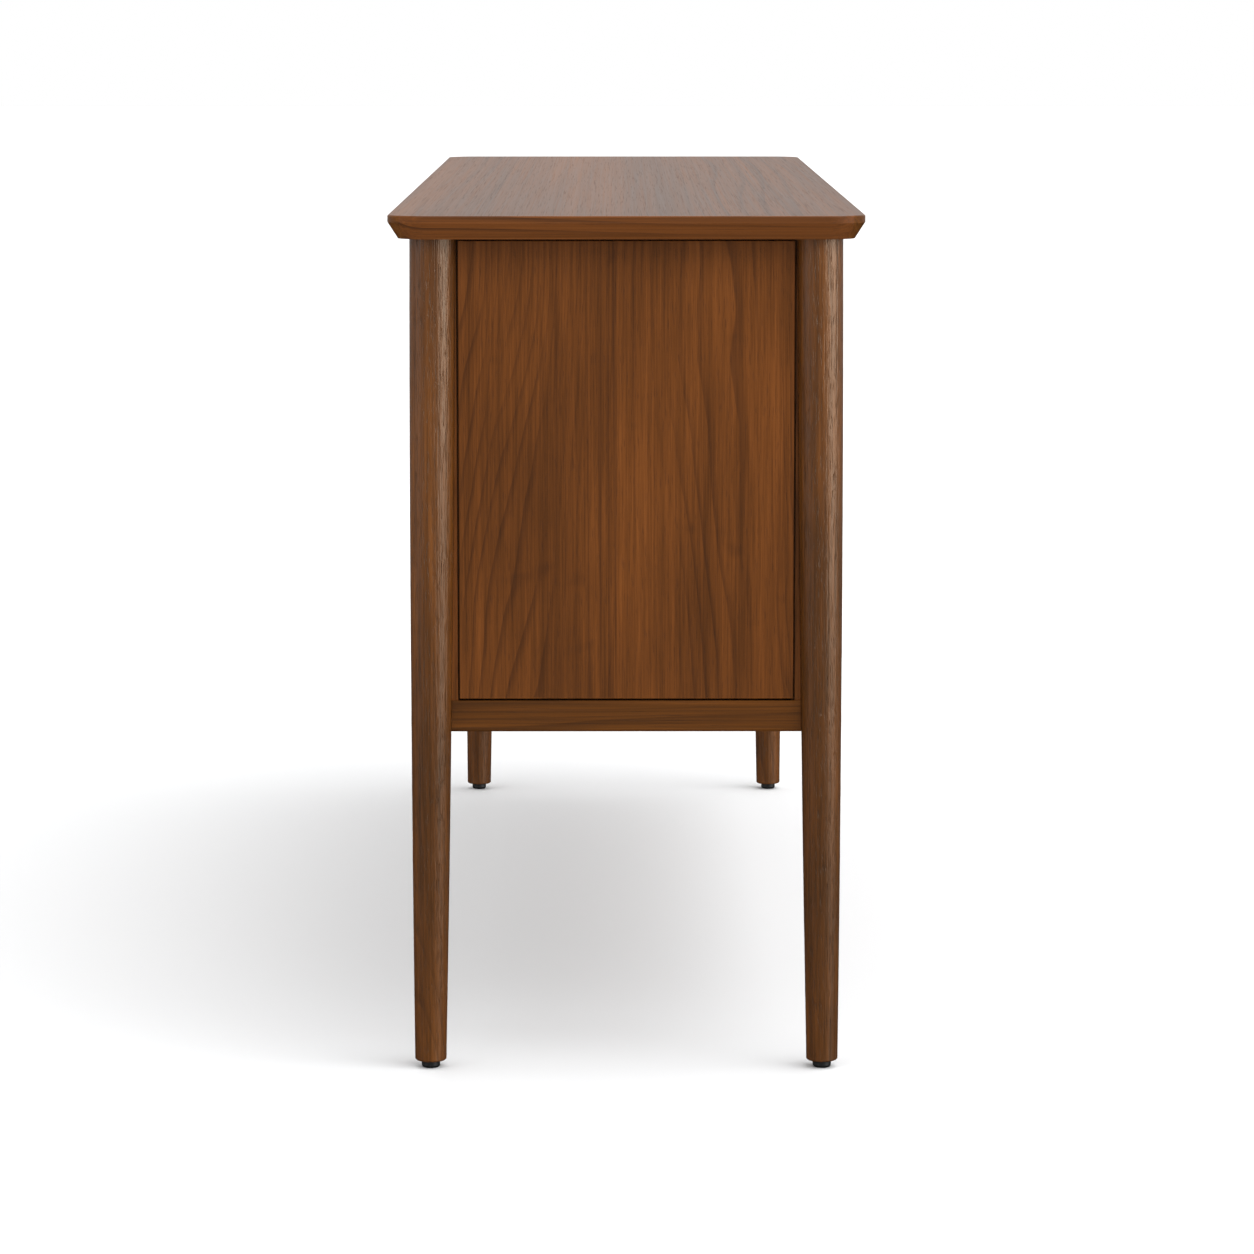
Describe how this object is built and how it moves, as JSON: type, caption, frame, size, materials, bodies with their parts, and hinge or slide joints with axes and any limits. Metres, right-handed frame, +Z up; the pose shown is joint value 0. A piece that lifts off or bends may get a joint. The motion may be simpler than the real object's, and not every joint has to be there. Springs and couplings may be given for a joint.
{
  "type": "sideboard buffet",
  "caption": "Walnut sideboard buffet on round tapered legs: bevelled slab top, framed case with hinged doors, a stack of drawers, shelves and levelling feet.",
  "frame": {"origin": "on the floor, under the middle of the piece", "axes": "+X along the length to the right as seen from the front, -Y out of the front, +Z up"},
  "size_m": [1.676, 0.457, 0.835],
  "materials": {
    "walnut": "satin lacquered walnut veneer and solid walnut",
    "walnut_inner": "matt lacquered walnut veneer",
    "maple": "clear lacquered maple",
    "brass": "satin brass",
    "steel": "zinc plated steel",
    "black_plastic": "black moulded plastic"
  },
  "bodies": {
    "case": {"top_slab": "walnut", "leg_front_left": "walnut", "leg_front_right": "walnut", "leg_back_left": "walnut", "leg_back_right": "walnut", "foot_bushings": "steel", "post_front_left": "walnut", "post_front_right": "walnut", "post_back_left": "walnut", "post_back_right": "walnut", "end_rail_left": "walnut", "end_rail_right": "walnut", "front_rail": "walnut", "back_rail": "walnut", "front_top_rail": "maple", "back_top_rail": "maple", "end_panel_left": "walnut", "end_panel_right": "walnut", "case_side_left": "walnut_inner", "case_side_right": "walnut_inner", "case_floor": "walnut_inner", "divider_left": "walnut_inner", "divider_right": "walnut_inner", "back_panel": "walnut", "back_cleats": "maple", "shelf_left": "walnut_inner", "shelf_right": "walnut_inner", "shelf_pins": "brass", "case_leaves_left": "brass", "case_leaves_right": "brass", "hinge_pins_left": "brass", "hinge_pins_right": "brass", "door_catches": "black_plastic", "drawer_runners": "maple", "case_screws": "steel"},
    "door_left": {"door_left": "walnut", "door_leaves_left": "brass", "strike_left": "steel"},
    "door_right": {"door_right": "walnut", "door_leaves_right": "brass", "strike_right": "steel"},
    "drawer_upper": {"upper_front": "walnut", "upper_side_left": "maple", "upper_side_right": "maple", "upper_back": "maple", "upper_bottom": "maple"},
    "drawer_middle": {"middle_front": "walnut", "middle_side_left": "maple", "middle_side_right": "maple", "middle_back": "maple", "middle_bottom": "maple"},
    "drawer_lower": {"lower_front": "walnut", "lower_side_left": "maple", "lower_side_right": "maple", "lower_back": "maple", "lower_bottom": "maple"},
    "foot_front_left": {"foot_front_left": "black_plastic"},
    "foot_front_right": {"foot_front_right": "black_plastic"},
    "foot_back_left": {"foot_back_left": "black_plastic"},
    "foot_back_right": {"foot_back_right": "black_plastic"}
  },
  "joints": [
    {"name": "door_left_swing", "type": "hinge", "parent": "case", "child": "door_left", "pos_m": [-0.7694, -0.1884, 0.5875], "axis": [0, 0, -1], "range_deg": [0, 90]},
    {"name": "door_right_swing", "type": "hinge", "parent": "case", "child": "door_right", "pos_m": [0.7694, -0.1884, 0.5875], "axis": [0, 0, 1], "range_deg": [0, 90]},
    {"name": "drawer_upper_slide", "type": "slide", "parent": "case", "child": "drawer_upper", "axis": [0, -1, 0], "range_m": [0, 0.25]},
    {"name": "drawer_middle_slide", "type": "slide", "parent": "case", "child": "drawer_middle", "axis": [0, -1, 0], "range_m": [0, 0.25]},
    {"name": "drawer_lower_slide", "type": "slide", "parent": "case", "child": "drawer_lower", "axis": [0, -1, 0], "range_m": [0, 0.25]},
    {"name": "foot_front_left_turn", "type": "hinge", "parent": "case", "child": "foot_front_left", "pos_m": [-0.794, -0.192, 0], "axis": [0, 0, 1], "continuous": true},
    {"name": "foot_front_right_turn", "type": "hinge", "parent": "case", "child": "foot_front_right", "pos_m": [0.794, -0.192, 0], "axis": [0, 0, 1], "continuous": true},
    {"name": "foot_back_left_turn", "type": "hinge", "parent": "case", "child": "foot_back_left", "pos_m": [-0.794, 0.192, 0], "axis": [0, 0, 1], "continuous": true},
    {"name": "foot_back_right_turn", "type": "hinge", "parent": "case", "child": "foot_back_right", "pos_m": [0.794, 0.192, 0], "axis": [0, 0, 1], "continuous": true}
  ]
}
